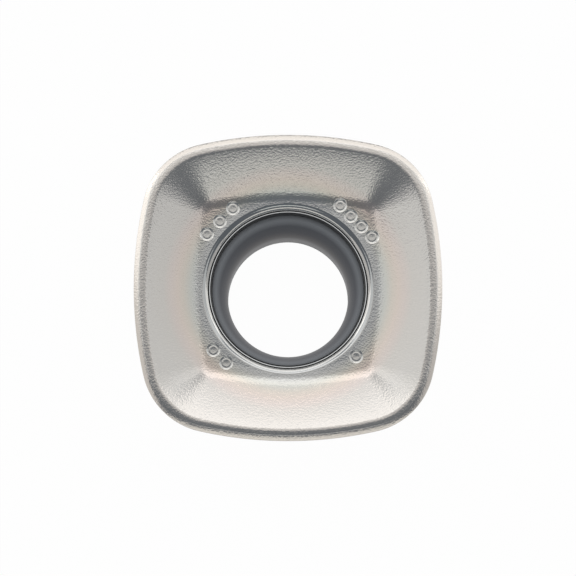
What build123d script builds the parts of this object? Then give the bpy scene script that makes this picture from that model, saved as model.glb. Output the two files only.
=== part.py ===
from build123d import *
from math import atan2, degrees, radians, sqrt, tan
import os

# Indexable square insert of cemented carbide: one pressed and sintered body.
# Millimetres. The seat face lies on Z = 0, +Z runs up the screw hole to the rake
# face, and the origin is on the hole's axis. The four corners lie on the diagonals.

# --- Cutting edge: a square whose sides bow outwards between rounded corners ---
across_flats = 14.0        # between opposite sides, over the middle of their bow
side_bow_radius = 18.2
corner_radius = 3.35
thickness = 5.56           # seat face to the crest behind the cutting edge
relief_angle = 11.0        # the flank leans in under the edge, degrees

# --- Edge preparation: two narrow lands that rise from the edge to the crest ---
bevel_width = 0.27
bevel_angle = 27.0         # degrees up from level
land_width = 0.27
land_angle = 3.0           # degrees up from level

# --- Chip former: a crowned rake face that falls to a level floor round the hole ---
floor_depth = 0.58         # crest down to the floor
floor_margin = 0.34        # rim of the hole's lip to the foot of the rake face
floor_corner_radius = 0.60
rake_crown = 0.02          # rise of the rake face over a straight slope, at mid-width
foot_blend_radius = 1.6    # hollow blend between the rake face and the floor

# --- Screw hole: rounded lip, ledge, flared seat for the screw head, throat ---
throat_diameter = 5.5      # passes an M5 clamping screw
throat_length = 1.5
throat_chamfer = 0.2       # at the seat face
seat_mouth_diameter = 6.92
lip_diameter = 7.06        # inside the rounded lip
lip_radius = 0.39
lip_wall = 0.12            # straight wall under the lip's rounding
ledge_drop = 0.05          # fall of the narrow ledge from the lip to the flared seat

# --- Index marks: rows of round dimples, one more at each corner in turn ---
dimple_diameter = 0.62
dimple_floor_diameter = 0.48
dimple_depth = 0.05
dimple_overrun = 0.05      # the dimple's cone runs on above the floor, through the blend
dimple_pitch = 0.83
full_row_pitch = 0.68      # closer together, so that the longest row stays on the floor
row_margin = 0.45          # rim of the hole's lip to the middle of a row
dimple_counts = (4, 3, 2, 1)

# --- Heights and radii that follow from the sizes above ---
land_height = thickness - land_width * tan(radians(land_angle))
edge_height = land_height - bevel_width * tan(radians(bevel_angle))
seat_inset = edge_height * tan(radians(relief_angle))
crest_inset = bevel_width + land_width
floor_height = thickness - floor_depth
throat_radius = throat_diameter / 2
seat_mouth_radius = seat_mouth_diameter / 2
lip_wall_radius = lip_diameter / 2
lip_wall_top = floor_height - lip_radius
ledge_height = lip_wall_top - lip_wall
seat_mouth_height = ledge_height - ledge_drop
rim_radius = lip_wall_radius + lip_radius
foot_inset = across_flats / 2 - rim_radius - floor_margin
row_distance = rim_radius + row_margin
dimple_flare = (dimple_diameter - dimple_floor_diameter) / 2 / dimple_depth
dimple_top_radius = dimple_diameter / 2 + dimple_flare * dimple_overrun
crown_inset = (crest_inset + foot_inset) / 2
crown_height = (thickness + floor_height) / 2 + rake_crown
crest_rounding = corner_radius - crest_inset
crown_rounding = (crest_rounding + floor_corner_radius) / 2


def bowed_square(inset, rounding):
    """Draw the edge outline moved in by inset, with corners of the radius rounding.

    The side arcs keep their centres at every inset. Each corner arc has its centre on
    the diagonal, where it runs smoothly into the two sides.
    """
    bow_radius = side_bow_radius - inset
    bow_centre = across_flats / 2 - side_bow_radius
    reach = bow_radius - rounding
    corner_centre = (bow_centre + sqrt(2 * reach**2 - bow_centre**2)) / 2
    join_angle = degrees(atan2(corner_centre, corner_centre - bow_centre))
    with BuildSketch() as outline:
        with BuildLine():
            for turn in (0, 90, 180, 270):
                side = Vector(bow_centre, 0).rotate(Axis.Z, turn)
                corner = Vector(corner_centre, corner_centre).rotate(Axis.Z, turn)
                CenterArc(side, bow_radius, turn - join_angle, 2 * join_angle)
                CenterArc(corner, rounding, turn + join_angle, 90 - 2 * join_angle)
        make_face()
    return outline.sketch


with BuildPart() as insert:
    # Flank, bevel and land: straight bands between four outlines, from the seat up.
    for height, inset in (
        (0, seat_inset),
        (edge_height, 0),
        (land_height, bevel_width),
        (thickness, crest_inset),
    ):
        with BuildSketch(Plane.XY.offset(height)):
            add(bowed_square(inset, corner_radius - inset))
    loft(ruled=True)

    # Chip former: the crowned rake face is a smooth loft through three outlines.
    for height, inset, rounding in (
        (floor_height, foot_inset, floor_corner_radius),
        (crown_height, crown_inset, crown_rounding),
        (thickness, crest_inset, crest_rounding),
    ):
        with BuildSketch(Plane.XY.offset(height)):
            add(bowed_square(inset, rounding))
    loft(mode=Mode.SUBTRACT)
    floor = insert.faces().filter_by(Axis.Z).sort_by(Axis.Z)[-1]
    fillet(floor.edges(), foot_blend_radius)

    # Screw hole, turned about Z from its half-section.
    with BuildSketch(Plane.XZ):
        with BuildLine():
            Polyline(
                (0, floor_height),
                (0, 0),
                (throat_radius + throat_chamfer, 0),
                (throat_radius, throat_chamfer),
                (throat_radius, throat_length),
            )
            flare = TangentArc(
                (throat_radius, throat_length),
                (seat_mouth_radius, seat_mouth_height),
                tangent=(0, 1),
            )
            Polyline(
                flare @ 1,
                (lip_wall_radius, ledge_height),
                (lip_wall_radius, lip_wall_top),
            )
            lip = TangentArc(
                (lip_wall_radius, lip_wall_top),
                (rim_radius, floor_height),
                tangent=(0, 1),
            )
            Line(lip @ 1, (0, floor_height))
        make_face()
    revolve(axis=Axis.Z, mode=Mode.SUBTRACT)

    # Index marks: straight rows of dimples across the diagonals, on the floor.
    for corner, count in enumerate(dimple_counts):
        pitch = full_row_pitch if count == max(dimple_counts) else dimple_pitch
        row_plane = Plane.XY.offset(floor_height).rotated((0, 0, 45 + 90 * corner))
        with Locations(row_plane):
            with Locations((row_distance, 0, -dimple_depth)):
                with GridLocations(pitch, pitch, 1, count):
                    Cone(
                        dimple_floor_diameter / 2,
                        dimple_top_radius,
                        dimple_depth + dimple_overrun,
                        align=(Align.CENTER, Align.CENTER, Align.MIN),
                        mode=Mode.SUBTRACT,
                    )

insert.part.label = "insert"
os.makedirs("parts", exist_ok=True)
export_step(insert.part, "parts/insert.step")
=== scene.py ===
"""Looks of a square indexable insert of coated cemented carbide, lying on its seat face.

The insert is one pressed and sintered body under one vapour-deposited coating. Its rim
is made by spinning one section round the arcs of the outline, and its screw hole by
spinning another round Z. The two level faces between them are filled, and small turned
punches press the index dimples. Everything is in metres; sizes are given in millimetres.
"""

import logging
import math
from dataclasses import dataclass
from enum import Enum

import bmesh
import bpy
from mathutils import Matrix, Vector


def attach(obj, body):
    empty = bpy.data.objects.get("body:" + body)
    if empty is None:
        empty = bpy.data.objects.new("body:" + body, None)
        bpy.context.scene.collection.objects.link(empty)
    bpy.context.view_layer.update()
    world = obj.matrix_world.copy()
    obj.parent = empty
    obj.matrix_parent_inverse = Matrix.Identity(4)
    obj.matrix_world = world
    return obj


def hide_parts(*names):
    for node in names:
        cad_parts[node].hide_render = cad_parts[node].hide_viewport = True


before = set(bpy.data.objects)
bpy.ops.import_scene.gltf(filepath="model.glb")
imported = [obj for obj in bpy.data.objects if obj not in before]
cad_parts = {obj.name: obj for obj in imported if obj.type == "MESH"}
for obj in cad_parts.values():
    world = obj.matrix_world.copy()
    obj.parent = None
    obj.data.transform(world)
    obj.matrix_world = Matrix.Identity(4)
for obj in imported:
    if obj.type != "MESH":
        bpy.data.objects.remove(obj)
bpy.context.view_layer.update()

MM = 0.001
WELD = 1e-4  # mm: vertices of the blank closer than this are one
HAIR = 1e-5  # mm: heights, and vertices of the pins, closer than this are one
log = logging.getLogger("insert")


class Region(Enum):
    """The parts of the surface that were finished differently, by material index."""

    RAKE = 0
    BORE = 1
    FLANK = 2
    DIMPLE = 3
    LIP = 4


def linear(colour: str) -> tuple[float, float, float, float]:
    """Turn an sRGB hex colour into the linear colour that the shaders use.

    Args:
        colour: Six hex digits, two each for red, green and blue.

    Returns:
        Linear red, green and blue, and an alpha of 1.
    """
    channels = []
    for start in (0, 2, 4):
        value = int(colour[start:start + 2], 16) / 255
        channels.append(value / 12.92 if value <= 0.04045 else ((value + 0.055) / 1.055) ** 2.4)
    return (*channels, 1.0)


def add_node(
    tree: bpy.types.NodeTree,
    kind: str,
    settings: dict[str | int, object],
    links: dict[str | int, bpy.types.NodeSocket],
) -> bpy.types.Node:
    """Add a shader node, set it up and link its inputs.

    Args:
        tree: The node tree that gets the node.
        kind: The node's type name.
        settings: Attribute names, or input names or numbers, with their values.
        links: Input names or numbers, with the output socket that feeds each.

    Returns:
        The new node.
    """
    node = tree.nodes.new(kind)
    for key, value in settings.items():
        if isinstance(key, str) and hasattr(node, key):
            setattr(node, key, value)
        else:
            node.inputs[key].default_value = value
    for key, socket in links.items():
        tree.links.new(socket, node.inputs[key])
    return node


@dataclass(frozen=True)
class SectionPoint:
    """One corner of a section: its place and how far its rounding reaches, in mm.

    Across is the inset from the cutting edge on the rim, and the radius on turned forms.
    """

    across: float
    height: float
    reach: float = 0.0
    segments: int = 4


@dataclass(frozen=True)
class Outline:
    """The cutting edge seen from above: a square of bowed sides and round corners, in mm."""

    across_flats: float = 14.0
    bow_radius: float = 18.2
    corner_radius: float = 3.35
    bow_steps: int = 64
    corner_steps: int = 40

    @property
    def bow_centre(self) -> float:
        """Place on the X axis of the centre of the side that faces +X."""
        return self.across_flats / 2 - self.bow_radius

    @property
    def corner_centre(self) -> float:
        """X, and Y, of the centre of the corner arc between +X and +Y."""
        reach = self.bow_radius - self.corner_radius
        return (self.bow_centre + math.sqrt(2 * reach**2 - self.bow_centre**2)) / 2

    @property
    def join(self) -> float:
        """Half the angle that a side's arc turns through."""
        return math.atan2(self.corner_centre, self.corner_centre - self.bow_centre)

    def arcs(self) -> list[tuple[Vector, float, int]]:
        """List the arcs anticlockwise, from the lower end of the side that faces +X.

        Returns:
            For each arc its centre, the angle it turns through and its steps.
        """
        arcs = []
        for quarter in range(4):
            turn = Matrix.Rotation(quarter * math.pi / 2, 4, "Z")
            side = turn @ Vector((self.bow_centre, 0, 0))
            corner = turn @ Vector((self.corner_centre, self.corner_centre, 0))
            arcs.append((side, 2 * self.join, self.bow_steps))
            arcs.append((corner, math.pi / 2 - 2 * self.join, self.corner_steps))
        return arcs

    def start(self, inset: float) -> Vector:
        """Place the outline's start on a line that lies inside it.

        Args:
            inset: How far in from the cutting edge the line lies, in mm.

        Returns:
            The start, at height 0.
        """
        radius = self.bow_radius - inset
        x = self.bow_centre + radius * math.cos(self.join)
        return Vector((x, -radius * math.sin(self.join), 0))


@dataclass(frozen=True)
class Levels:
    """The heights that the rim, the floor and the hole share, in mm."""

    crest: float = 5.56
    land_width: float = 0.26
    land_angle: float = 3.0
    bevel_width: float = 0.25
    bevel_angle: float = 27.0
    relief_angle: float = 11.0
    floor_depth: float = 0.58

    @property
    def land(self) -> float:
        """Height of the line between the bevel and the land."""
        return self.crest - self.land_width * math.tan(math.radians(self.land_angle))

    @property
    def edge(self) -> float:
        """Height of the cutting edge."""
        return self.land - self.bevel_width * math.tan(math.radians(self.bevel_angle))

    @property
    def crest_inset(self) -> float:
        """Distance of the crest in from the cutting edge."""
        return self.bevel_width + self.land_width

    @property
    def seat_inset(self) -> float:
        """Distance of the seat's edge in from the cutting edge, under the flank."""
        return self.edge * math.tan(math.radians(self.relief_angle))

    @property
    def floor(self) -> float:
        """Height of the level floor round the hole."""
        return self.crest - self.floor_depth


def chain(
    mesh: bmesh.types.BMesh, places: list[Vector], points: list[SectionPoint],
) -> list[bmesh.types.BMVert | bmesh.types.BMEdge]:
    """Draw a section as a chain of edges and round its corners with bevels.

    Args:
        mesh: The mesh that gets the chain.
        places: Where each point of the section lies, in mm.
        points: The section's points, with the reach of each one's rounding.

    Returns:
        The chain's vertices and edges.
    """
    before_verts, before_edges = set(mesh.verts), set(mesh.edges)
    corners = [mesh.verts.new(place) for place in places]
    for first, second in zip(corners, corners[1:]):
        mesh.edges.new((first, second))
    for corner, point in zip(corners, points):
        if point.reach:
            bmesh.ops.bevel(
                mesh, geom=[corner], offset=point.reach, offset_type="OFFSET",
                segments=point.segments, profile=0.5, affect="VERTICES", material=-1,
            )
    new_verts = [vert for vert in mesh.verts if vert not in before_verts]
    new_edges = [edge for edge in mesh.edges if edge not in before_edges]
    return new_verts + new_edges


def border(mesh: bmesh.types.BMesh, height: float) -> list[bmesh.types.BMEdge]:
    """Find the open edges that lie at one height, in mm."""
    return [
        edge for edge in mesh.edges
        if edge.is_boundary and all(abs(vert.co.z - height) < HAIR for vert in edge.verts)
    ]


@dataclass(frozen=True)
class Rim:
    """The flank, the two lands of the cutting edge, and the chip former's rake face."""

    outline: Outline
    levels: Levels
    foot_inset: float = 2.74
    rake_crown: float = 0.02
    floor_strip: float = 0.26
    seat_strip: float = 0.20

    def section(self) -> list[SectionPoint]:
        """Draw the section from the seat face up over the edge and down to the floor.

        Returns:
            The section's points in order.
        """
        levels = self.levels
        middle = (levels.crest_inset + self.foot_inset) / 2
        chord = (levels.crest + levels.floor) / 2
        return [
            SectionPoint(levels.seat_inset + self.seat_strip, 0.0),
            SectionPoint(levels.seat_inset, 0.0, 0.08, 3),
            SectionPoint(0.0, levels.edge, 0.03, 4),
            SectionPoint(levels.bevel_width, levels.land, 0.025, 4),
            SectionPoint(levels.crest_inset, levels.crest, 0.09, 6),
            SectionPoint(middle, chord + 2 * self.rake_crown, 0.80, 14),
            SectionPoint(self.foot_inset, levels.floor, 0.25, 10),
            SectionPoint(self.foot_inset + self.floor_strip, levels.floor),
        ]

    def build(self, mesh: bmesh.types.BMesh) -> None:
        """Spin the section round each arc of the outline in turn.

        Args:
            mesh: The blank's mesh, in mm.
        """
        points = self.section()
        places = []
        for point in points:
            place = self.outline.start(point.across)
            place.z = point.height
            places.append(place)
        section = chain(mesh, places, points)
        for centre, angle, steps in self.outline.arcs():
            spun = bmesh.ops.spin(
                mesh, geom=section, cent=centre, axis=(0, 0, 1), angle=angle, steps=steps,
                use_merge=False, use_duplicate=False,
            )
            section = spun["geom_last"]


@dataclass(frozen=True)
class Hole:
    """The screw hole: rounded lip, ledge, flared seat for the screw head and throat."""

    levels: Levels
    throat_radius: float = 2.75
    throat_length: float = 1.5
    throat_chamfer: float = 0.2
    seat_radius: float = 3.46
    lip_radius: float = 3.53
    lip_rounding: float = 0.39
    lip_wall: float = 0.12
    ledge_drop: float = 0.05
    flare_share: float = 0.98
    floor_strip: float = 0.01
    seat_strip: float = 0.1
    steps: int = 192

    @property
    def rim_radius(self) -> float:
        """Radius at which the lip's rounding leaves the floor."""
        return self.lip_radius + self.lip_rounding

    @property
    def ledge(self) -> float:
        """Height of the ledge's outer line."""
        return self.levels.floor - self.lip_rounding - self.lip_wall

    def section(self) -> list[SectionPoint]:
        """Draw the section from the floor down through the hole to the seat face.

        The flare is one rounding of the corner where its end tangents meet.

        Returns:
            The section's points in order.
        """
        seat = self.ledge - self.ledge_drop
        rise = seat - self.throat_length
        flare = self.seat_radius - self.throat_radius
        meeting = (flare**2 + rise**2) / (2 * rise)
        corner = self.throat_length + meeting
        mouth = self.throat_radius + self.throat_chamfer
        return [
            SectionPoint(self.rim_radius + self.floor_strip, self.levels.floor),
            SectionPoint(self.lip_radius, self.levels.floor, self.lip_rounding, 12),
            SectionPoint(self.lip_radius, self.ledge, 0.015, 2),
            SectionPoint(self.seat_radius, seat, 0.03, 3),
            SectionPoint(self.throat_radius, corner, self.flare_share * meeting, 24),
            SectionPoint(self.throat_radius, self.throat_chamfer, 0.03, 2),
            SectionPoint(mouth, 0.0, 0.03, 2),
            SectionPoint(mouth + self.seat_strip, 0.0),
        ]

    def build(self, mesh: bmesh.types.BMesh) -> None:
        """Spin the section once round the hole's axis.

        Args:
            mesh: The blank's mesh, in mm.
        """
        points = self.section()
        places = [Vector((point.across, 0, point.height)) for point in points]
        bmesh.ops.spin(
            mesh, geom=chain(mesh, places, points), cent=(0, 0, 0), axis=(0, 0, 1),
            angle=2 * math.pi, steps=self.steps, use_merge=True, use_duplicate=False,
        )


@dataclass(frozen=True)
class IndexMarks:
    """Rows of round dimples on the floor, one row across each diagonal.

    Each dimple is a shallow ring groove round a slightly hollow button, as the pin of the
    press tool leaves it.
    """

    levels: Levels
    rim_radius: float = 0.32
    rim_depth: float = 0.002
    groove_radius: float = 0.235
    groove_depth: float = 0.028
    button_radius: float = 0.17
    button_depth: float = 0.018
    hollow_depth: float = 0.032
    pin_overrun: float = 0.06
    pitch: float = 0.83
    full_row_pitch: float = 0.68
    row_distance: float = 4.37
    counts: tuple[int, ...] = (4, 3, 2, 1)
    steps: int = 36

    def centres(self) -> list[Vector]:
        """Place the dimples row by row, the fullest row a little closer together.

        Returns:
            The dimples' centres, at height 0.
        """
        centres = []
        for corner, count in enumerate(self.counts):
            turn = Matrix.Rotation(math.radians(45 + 90 * corner), 4, "Z")
            pitch = self.full_row_pitch if count == max(self.counts) else self.pitch
            for index in range(count):
                along = (index - (count - 1) / 2) * pitch
                centres.append(turn @ Vector((self.row_distance, along, 0)))
        return centres

    def section(self) -> list[SectionPoint]:
        """Draw a pin's section from the middle of its end out to the top of its side.

        Returns:
            The section's points in order.
        """
        floor = self.levels.floor
        side = self.rim_radius + self.pin_overrun
        return [
            SectionPoint(0.0, floor - self.hollow_depth),
            SectionPoint(self.button_radius, floor - self.button_depth, 0.035, 4),
            SectionPoint(self.groove_radius, floor - self.groove_depth, 0.03, 4),
            SectionPoint(self.rim_radius, floor - self.rim_depth, 0.035, 4),
            SectionPoint(side, floor + self.pin_overrun),
            SectionPoint(0.0, floor + self.pin_overrun),
        ]

    def build(self, mesh: bmesh.types.BMesh) -> None:
        """Spin a closed pin for each dimple.

        Args:
            mesh: The pins' mesh, in mm.
        """
        points = self.section()
        for centre in self.centres():
            places = [centre + Vector((point.across, 0, point.height)) for point in points]
            bmesh.ops.spin(
                mesh, geom=chain(mesh, places, points), cent=centre, axis=(0, 0, 1),
                angle=2 * math.pi, steps=self.steps, use_merge=True, use_duplicate=False,
            )
        bmesh.ops.remove_doubles(mesh, verts=mesh.verts, dist=HAIR)
        bmesh.ops.recalc_face_normals(mesh, faces=mesh.faces)
        for face in mesh.faces:
            face.material_index = Region.DIMPLE.value


@dataclass(frozen=True)
class CoatedCarbide:
    """Cemented carbide under a vapour-deposited ceramic coating.

    Tungsten carbide grains pressed and sintered in cobalt leave a finely pebbled skin.
    The coating over it is a thin grey film with a metal's lustre that keeps that texture,
    so reflections break up into a mottle. Where the film thickens towards the screw hole,
    it takes faint interference colours in rings round the hole. Those colours, and the square
    band over which the floor is dished, are given by distance from the hole's axis, in mm.
    In the screw seat, the colours by radius are painted shade down the throat and a painted
    highlight on the flared seat.
    """

    name: str
    colour: str
    edge_tint: str
    roughness: float
    grain_mm: float = 0.08
    grain_height_mm: float = 0.0055
    swell_mm: float = 0.30
    swell_height_mm: float = 0.0012
    tints_and_painted_light: tuple[tuple[float, str], ...] = ()
    drag_shade: str = ""
    drag_mm: float = 0.12
    drag_squash: float = 0.04
    dish: tuple[float, float] | None = None
    dish_angle: float = 1.5

    def make(self) -> bpy.types.Material:
        """Build the material.

        Returns:
            The new material, with its grain in a bump and its tints by radius.
        """
        material = bpy.data.materials.new(self.name)
        material.use_nodes = True
        tree = material.node_tree
        tree.nodes.clear()
        place = add_node(tree, "ShaderNodeTexCoord", {}, {}).outputs["Object"]
        surface = add_node(
            tree, "ShaderNodeBsdfPrincipled",
            {
                "Base Color": linear(self.colour), "Metallic": 1.0,
                "Roughness": self.roughness, "Specular Tint": linear(self.edge_tint),
            },
            {"Normal": self.bumps(tree, place)},
        )
        if self.tints_and_painted_light:
            tree.links.new(self.rings(tree, place), surface.inputs["Base Color"])
        if self.drag_shade:
            tree.links.new(self.drag(tree, place), surface.inputs["Base Color"])
        add_node(tree, "ShaderNodeOutputMaterial", {}, {"Surface": surface.outputs["BSDF"]})
        return material

    def bumps(self, tree: bpy.types.NodeTree, place: bpy.types.NodeSocket) -> bpy.types.NodeSocket:
        """Add the sintered grain over a slight unevenness of the pressed surface.

        The real grain is finer. It is drawn as coarse as it needs to show.

        Args:
            tree: The material's node tree.
            place: The place on the insert.

        Returns:
            The bent normal.
        """
        normal = self.dished(tree, place) if self.dish else None
        for size, height in (
            (self.swell_mm, self.swell_height_mm),
            (self.grain_mm, self.grain_height_mm),
        ):
            noise = add_node(
                tree, "ShaderNodeTexNoise",
                {"Scale": 1 / (size * MM), "Detail": 1.0, "Roughness": 0.5},
                {"Vector": place},
            )
            links = {"Height": noise.outputs["Fac"]}
            if normal:
                links["Normal"] = normal
            bump = add_node(
                tree, "ShaderNodeBump", {"Strength": 1.0, "Distance": height * MM}, links,
            )
            normal = bump.outputs["Normal"]
        return normal

    def drag(self, tree: bpy.types.NodeTree, place: bpy.types.NodeSocket) -> bpy.types.NodeSocket:
        """Shade the faint lines that the die leaves up the flank as the blank slides out.

        Args:
            tree: The material's node tree.
            place: The place on the insert.

        Returns:
            The film's colour.
        """
        squashed = add_node(
            tree, "ShaderNodeVectorMath",
            {"operation": "MULTIPLY", 1: (1, 1, self.drag_squash)}, {0: place},
        )
        noise = add_node(
            tree, "ShaderNodeTexNoise", {"Scale": 1 / (self.drag_mm * MM), "Detail": 1.0},
            {"Vector": squashed.outputs[0]},
        )
        ramp = add_node(tree, "ShaderNodeValToRGB", {}, {"Fac": noise.outputs["Fac"]})
        for stop, (share, colour) in zip(
            ramp.color_ramp.elements, ((0.32, self.drag_shade), (0.62, self.colour)),
        ):
            stop.position = share
            stop.color = linear(colour)
        return ramp.outputs["Color"]

    def dished(self, tree: bpy.types.NodeTree, place: bpy.types.NodeSocket) -> bpy.types.NodeSocket:
        """Let the floor fall slightly to the hole, over a band as square as the floor is.

        Args:
            tree: The material's node tree.
            place: The place on the insert.

        Returns:
            The bent normal.
        """
        inner, outer = self.dish
        rise = (outer - inner) * math.tan(math.radians(self.dish_angle))
        level = add_node(
            tree, "ShaderNodeVectorMath", {"operation": "MULTIPLY", 1: (1, 1, 0)}, {0: place},
        ).outputs[0]
        squares = add_node(
            tree, "ShaderNodeVectorMath", {"operation": "MULTIPLY"}, {0: level, 1: level},
        )
        length = add_node(
            tree, "ShaderNodeVectorMath", {"operation": "LENGTH"}, {0: squares.outputs[0]},
        )
        reach = add_node(
            tree, "ShaderNodeMath", {"operation": "SQRT"}, {0: length.outputs["Value"]},
        )
        height = add_node(
            tree, "ShaderNodeMapRange",
            {
                "interpolation_type": "SMOOTHSTEP", "From Min": inner * MM,
                "From Max": outer * MM, "To Min": 0.0, "To Max": 1.0,
            },
            {"Value": reach.outputs[0]},
        )
        bump = add_node(
            tree, "ShaderNodeBump", {"Strength": 1.0, "Distance": rise * MM},
            {"Height": height.outputs["Result"]},
        )
        return bump.outputs["Normal"]

    def rings(self, tree: bpy.types.NodeTree, place: bpy.types.NodeSocket) -> bpy.types.NodeSocket:
        """Colour the film by its distance from the screw hole's axis, painted shade and highlight
        included.

        Args:
            tree: The material's node tree.
            place: The place on the insert.

        Returns:
            The film's colour.
        """
        reach = self.tints_and_painted_light[-1][0]
        level = add_node(
            tree, "ShaderNodeVectorMath", {"operation": "MULTIPLY", 1: (1, 1, 0)}, {0: place},
        )
        radius = add_node(
            tree, "ShaderNodeVectorMath", {"operation": "LENGTH"}, {0: level.outputs[0]},
        )
        share = add_node(
            tree, "ShaderNodeMath", {"operation": "DIVIDE", 1: reach * MM},
            {0: radius.outputs["Value"]},
        )
        ramp = add_node(tree, "ShaderNodeValToRGB", {}, {"Fac": share.outputs[0]})
        stops = ramp.color_ramp.elements
        while len(stops) < len(self.tints_and_painted_light):
            stops.new(1.0)
        for stop, (radius_mm, colour) in zip(stops, self.tints_and_painted_light):
            stop.position = radius_mm / reach
            stop.color = linear(colour)
        return ramp.outputs["Color"]


@dataclass(frozen=True)
class SoftBox:
    """A square studio lamp that shines evenly on the insert from one side and above.

    Azimuth 0 is over the insert's back, and 90 over its right side.
    """

    name: str
    azimuth: float
    from_zenith: float
    height_angle: float
    width_angle: float
    radiance: float
    colour: str = "FFFFFF"
    distance: float = 0.30

    def place(self) -> bpy.types.Object:
        """Add the lamp, facing the insert.

        Returns:
            The new lamp.
        """
        tilt = Matrix.Rotation(math.radians(-self.from_zenith), 3, "X")
        turn = Matrix.Rotation(math.radians(-self.azimuth), 3, "Z")
        facing = turn @ tilt
        width = 2 * self.distance * math.tan(math.radians(self.width_angle / 2))
        height = 2 * self.distance * math.tan(math.radians(self.height_angle / 2))
        lamp = bpy.data.lights.new(self.name, "AREA")
        lamp.shape = "RECTANGLE"
        lamp.size = width
        lamp.size_y = height
        lamp.color = linear(self.colour)[:3]
        lamp.energy = self.radiance * math.pi * width * height
        holder = bpy.data.objects.new(self.name, lamp)
        holder.location = facing @ Vector((0, 0, self.distance))
        holder.rotation_euler = facing.to_euler()
        bpy.context.scene.collection.objects.link(holder)
        return holder


@dataclass(frozen=True)
class Camera:
    """A long lens almost straight above the insert, in millimetres and degrees."""

    elevation: float = 82.8
    distance: float = 300.0
    frame_width: float = 26.10
    sensor: float = 36.0
    target_height: float = 5.25

    def place(self) -> None:
        """Add the camera and make it the scene's own."""
        angle = math.radians(self.elevation)
        direction = Vector((0, -math.cos(angle), math.sin(angle)))
        lens = bpy.data.cameras.new("camera")
        lens.sensor_width = self.sensor
        lens.lens = self.sensor * self.distance / self.frame_width
        holder = bpy.data.objects.new("camera", lens)
        target = Vector((0, 0, self.target_height))
        holder.location = (target + direction * self.distance) * MM
        holder.rotation_euler = direction.to_track_quat("Z", "Y").to_euler()
        bpy.context.scene.collection.objects.link(holder)
        bpy.context.scene.camera = holder


@dataclass(frozen=True)
class Studio:
    """A white table under soft lamps, with a plain surround. Sizes are in metres."""

    table_radius: float = 0.6
    table_upstand: float = 0.06
    table_gap: float = 0.02 * MM
    lit_share: float = 0.98
    surround: str = "6B6F74"
    lamps: tuple[SoftBox, ...] = (
        SoftBox("overhead_panel", 0.0, 19.0, 27.0, 30.0, 0.45, "FFF8F0"),
        SoftBox("back_panel", 0.0, 35.0, 29.0, 31.0, 0.43, "FFFDFB"),
        SoftBox("back_wide_panel", 0.0, 34.0, 30.0, 74.0, 0.25),
        SoftBox("back_bank", 0.0, 58.5, 27.0, 112.0, 1.0, "FFF9F2"),
        SoftBox("left_panel", 296.0, 46.5, 60.0, 30.0, 0.60, "FFFDF9"),
        SoftBox("right_panel", 67.0, 51.0, 70.0, 31.0, 0.50, "FFFDF9"),
        SoftBox("left_bank", 270.0, 70.0, 40.0, 58.0, 0.54, "FFF6EC"),
        SoftBox("right_bank", 90.0, 70.0, 40.0, 54.0, 0.42, "FFF6EC"),
        SoftBox("front_strip", 180.0, 22.5, 12.0, 22.0, 0.60, "FFFFF8"),
        SoftBox("front_bank", 180.0, 56.0, 16.0, 110.0, 0.73, "FFF8ED"),
    )

    def build(self) -> None:
        """Lay the table, hang the lamps and set the surround."""
        scene = bpy.context.scene
        scene.view_settings.view_transform = "Standard"
        for lamp in self.lamps:
            lamp.place()
        self.lay_table()
        self.set_surround()

    def lay_table(self) -> None:
        """Add the white table with its upstand, which still takes a faint shadow."""
        sheet = bmesh.new()
        bmesh.ops.create_circle(sheet, cap_ends=True, radius=self.table_radius, segments=96)
        raised = bmesh.ops.extrude_edge_only(sheet, edges=sheet.edges[:])["geom"]
        top = [vert for vert in raised if isinstance(vert, bmesh.types.BMVert)]
        bmesh.ops.translate(sheet, verts=top, vec=(0, 0, self.table_upstand))
        data = bpy.data.meshes.new("table")
        sheet.to_mesh(data)
        sheet.free()
        table = bpy.data.objects.new("table", data)
        table.location.z = -self.table_gap
        bpy.context.scene.collection.objects.link(table)
        material = bpy.data.materials.new("white paper")
        material.use_nodes = True
        tree = material.node_tree
        tree.nodes.clear()
        white = linear("FFFFFF")
        rays = add_node(tree, "ShaderNodeLightPath", {}, {}).outputs
        seen = rays["Is Camera Ray"]
        for name in ("Is Glossy Ray", "Is Transmission Ray"):
            seen = add_node(
                tree, "ShaderNodeMath", {"operation": "MAXIMUM"}, {0: seen, 1: rays[name]},
            ).outputs[0]
        share = add_node(
            tree, "ShaderNodeMath", {"operation": "MULTIPLY", 1: self.lit_share}, {0: seen},
        )
        paper = add_node(tree, "ShaderNodeBsdfDiffuse", {"Color": linear("F4F4F4")}, {})
        glow = add_node(tree, "ShaderNodeEmission", {"Color": white, "Strength": 1.0}, {})
        mixed = add_node(
            tree, "ShaderNodeMixShader", {},
            {0: share.outputs[0], 1: paper.outputs[0], 2: glow.outputs[0]},
        )
        add_node(tree, "ShaderNodeOutputMaterial", {}, {"Surface": mixed.outputs[0]})
        data.materials.append(material)

    def set_surround(self) -> None:
        """Light everything else evenly, in one plain grey."""
        world = bpy.data.worlds.new("surround")
        bpy.context.scene.world = world
        world.use_nodes = True
        tree = world.node_tree
        tree.nodes.clear()
        even = add_node(
            tree, "ShaderNodeBackground", {"Color": linear(self.surround), "Strength": 1.0}, {},
        )
        add_node(tree, "ShaderNodeOutputWorld", {}, {"Surface": even.outputs[0]})


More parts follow.
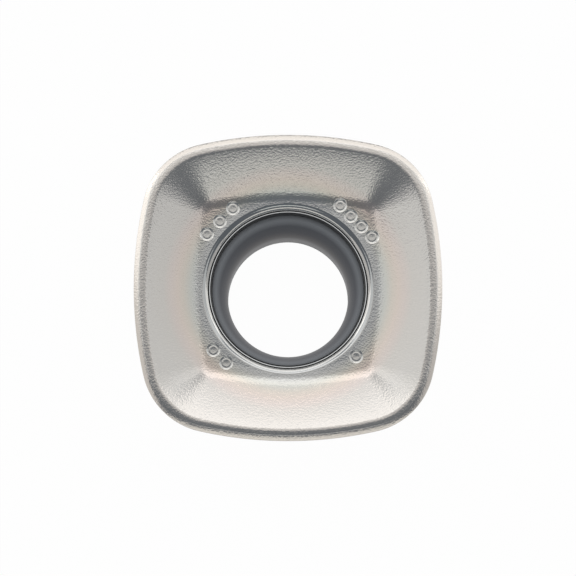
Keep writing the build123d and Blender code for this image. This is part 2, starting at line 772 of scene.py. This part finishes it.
RAKE_FINISH = CoatedCarbide(
    name="coated carbide, blasted rake face",
    colour="E6E4E0",
    edge_tint="FFFFFF",
    roughness=0.18,
    tints_and_painted_light=(
        (0.0, "D8DADA"),
        (4.1, "D8DADA"),
        (4.45, "DCDCD6"),
        (4.75, "E6DED4"),
        (5.0, "EBDFD6"),
        (5.3, "E9DFD9"),
        (5.65, "E4E0DB"),
        (6.4, "E5E2DE"),
        (9.0, "E5E2DE"),
    ),
    dish=(3.5, 4.5),
)
BORE_FINISH_AND_PAINTED_LIGHT = CoatedCarbide(
    name="coated carbide, screw seat as sintered",
    colour="4C4F52",
    edge_tint="D6D6D8",
    roughness=0.34,
    grain_height_mm=0.003,
    # The seat's colour is partly its own thin, dark as-sintered skin and partly painted light.
    # Below about 3.1 mm, the throat and the foot of the flare are painted darker as shade deep in
    # the hole. The band from 3.27 to 3.40 mm on the flared seat is painted lighter as a highlight.
    tints_and_painted_light=(
        (0.0, "413F3D"),
        (2.78, "413F3D"),
        (2.9, "3A3C3F"),
        (3.08, "44474B"),
        (3.27, "787C80"),
        (3.40, "787C80"),
        (3.46, "5A5C5E"),
        (4.0, "5A5C5E"),
    ),
)
FLANK_FINISH = CoatedCarbide(
    name="coated carbide, pressed flank",
    colour="B8B6B2",
    edge_tint="E0E0E0",
    roughness=0.36,
    grain_height_mm=0.005,
    swell_height_mm=0.0008,
    drag_shade="AFADA9",
)
DIMPLE_FINISH = CoatedCarbide(
    name="coated carbide, pressed dimples",
    colour="E0E0DD",
    edge_tint="FFFFFF",
    roughness=0.18,
    grain_height_mm=0.003,
)
LIP_FINISH = CoatedCarbide(
    name="coated carbide, honed lip of the hole",
    colour="CCCECE",
    edge_tint="FFFFFF",
    roughness=0.10,
    grain_height_mm=0.001,
    swell_height_mm=0.0005,
)


FINISHES = {
    Region.RAKE: RAKE_FINISH,
    Region.BORE: BORE_FINISH_AND_PAINTED_LIGHT,
    Region.FLANK: FLANK_FINISH,
    Region.DIMPLE: DIMPLE_FINISH,
    Region.LIP: LIP_FINISH,
}


@dataclass(frozen=True)
class Insert:
    """The whole insert, one closed body that stands for the node of the same name."""

    node: str = "insert"
    piece_name: str = "coated_insert"
    slot: str = "coated_carbide"
    crease: float = math.radians(32)
    level_normal: float = 0.99999
    flank_normal: float = -0.1
    lip_margin: float = 0.01

    def build(self) -> bpy.types.Object:
        """Shape the insert and dress it.

        Returns:
            The finished piece.
        """
        levels = Levels()
        hole = Hole(levels)
        mesh = bmesh.new()
        Rim(Outline(), levels).build(mesh)
        hole.build(mesh)
        bmesh.ops.remove_doubles(mesh, verts=mesh.verts, dist=WELD)
        for height in (0.0, levels.floor):
            bmesh.ops.triangle_fill(
                mesh, edges=border(mesh, height), use_beauty=True, use_dissolve=False,
            )
        bmesh.ops.recalc_face_normals(mesh, faces=mesh.faces)
        self.zone(mesh, hole)
        pins = bmesh.new()
        IndexMarks(levels).build(pins)
        data = self.press(mesh, pins)
        for region in Region:
            data.materials.append(FINISHES[region].make())
        piece = bpy.data.objects.new(self.piece_name, data)
        bpy.context.scene.collection.objects.link(piece)
        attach(piece, "root")
        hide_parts(self.node)
        log.info("%s: %d faces", piece.name, len(data.polygons))
        return piece

    def zone(self, mesh: bmesh.types.BMesh, hole: Hole) -> None:
        """Mark each face's region on the blank.

        Args:
            mesh: The blank's mesh, in mm.
            hole: The screw hole, which says where the bore and the lip end.
        """
        for face in mesh.faces:
            middle = face.calc_center_median()
            radius = math.hypot(middle.x, middle.y)
            on_seat = middle.z < WELD
            if radius < hole.lip_radius + self.lip_margin and not on_seat:
                region = Region.BORE
            elif radius < hole.rim_radius and not on_seat:
                region = Region.LIP
            elif on_seat or (radius > hole.rim_radius and face.normal.z < self.flank_normal):
                region = Region.FLANK
            else:
                region = Region.RAKE
            face.material_index = region.value

    def press(self, blank: bmesh.types.BMesh, pins: bmesh.types.BMesh) -> bpy.types.Mesh:
        """Press the dimples into the blank with the pins and smooth what stays smooth.

        Args:
            blank: The insert without its dimples, in mm.
            pins: The closed pins, in mm.

        Returns:
            The finished mesh, in metres.
        """
        holders = []
        for name, mesh in (("blank", blank), ("pins", pins)):
            data = bpy.data.meshes.new(name)
            mesh.to_mesh(data)
            mesh.free()
            holders.append(bpy.data.objects.new(name, data))
            bpy.context.scene.collection.objects.link(holders[-1])
        modifier = holders[0].modifiers.new("press", "BOOLEAN")
        modifier.operation = "DIFFERENCE"
        modifier.solver = "EXACT"
        modifier.object = holders[1]
        pressed = bmesh.new()
        pressed.from_object(holders[0], bpy.context.evaluated_depsgraph_get())
        for holder in holders:
            bpy.data.meshes.remove(holder.data)
        bmesh.ops.scale(pressed, vec=(MM, MM, MM), verts=pressed.verts)
        for face in pressed.faces:
            face.smooth = abs(face.normal.z) < self.level_normal
        for edge in pressed.edges:
            regions = {face.material_index for face in edge.link_faces}
            rim = len(regions) > 1 and Region.DIMPLE.value in regions
            edge.smooth = not rim and edge.calc_face_angle(0.0) < self.crease
        data = bpy.data.meshes.new(self.piece_name)
        pressed.to_mesh(data)
        pressed.free()
        return data


def main() -> None:
    """Build the studio, the camera and the insert, and log the piece's face count."""
    logging.basicConfig(level=logging.INFO)
    Camera().place()
    Studio().build()
    Insert().build()


if __name__ == "__main__":
    main()
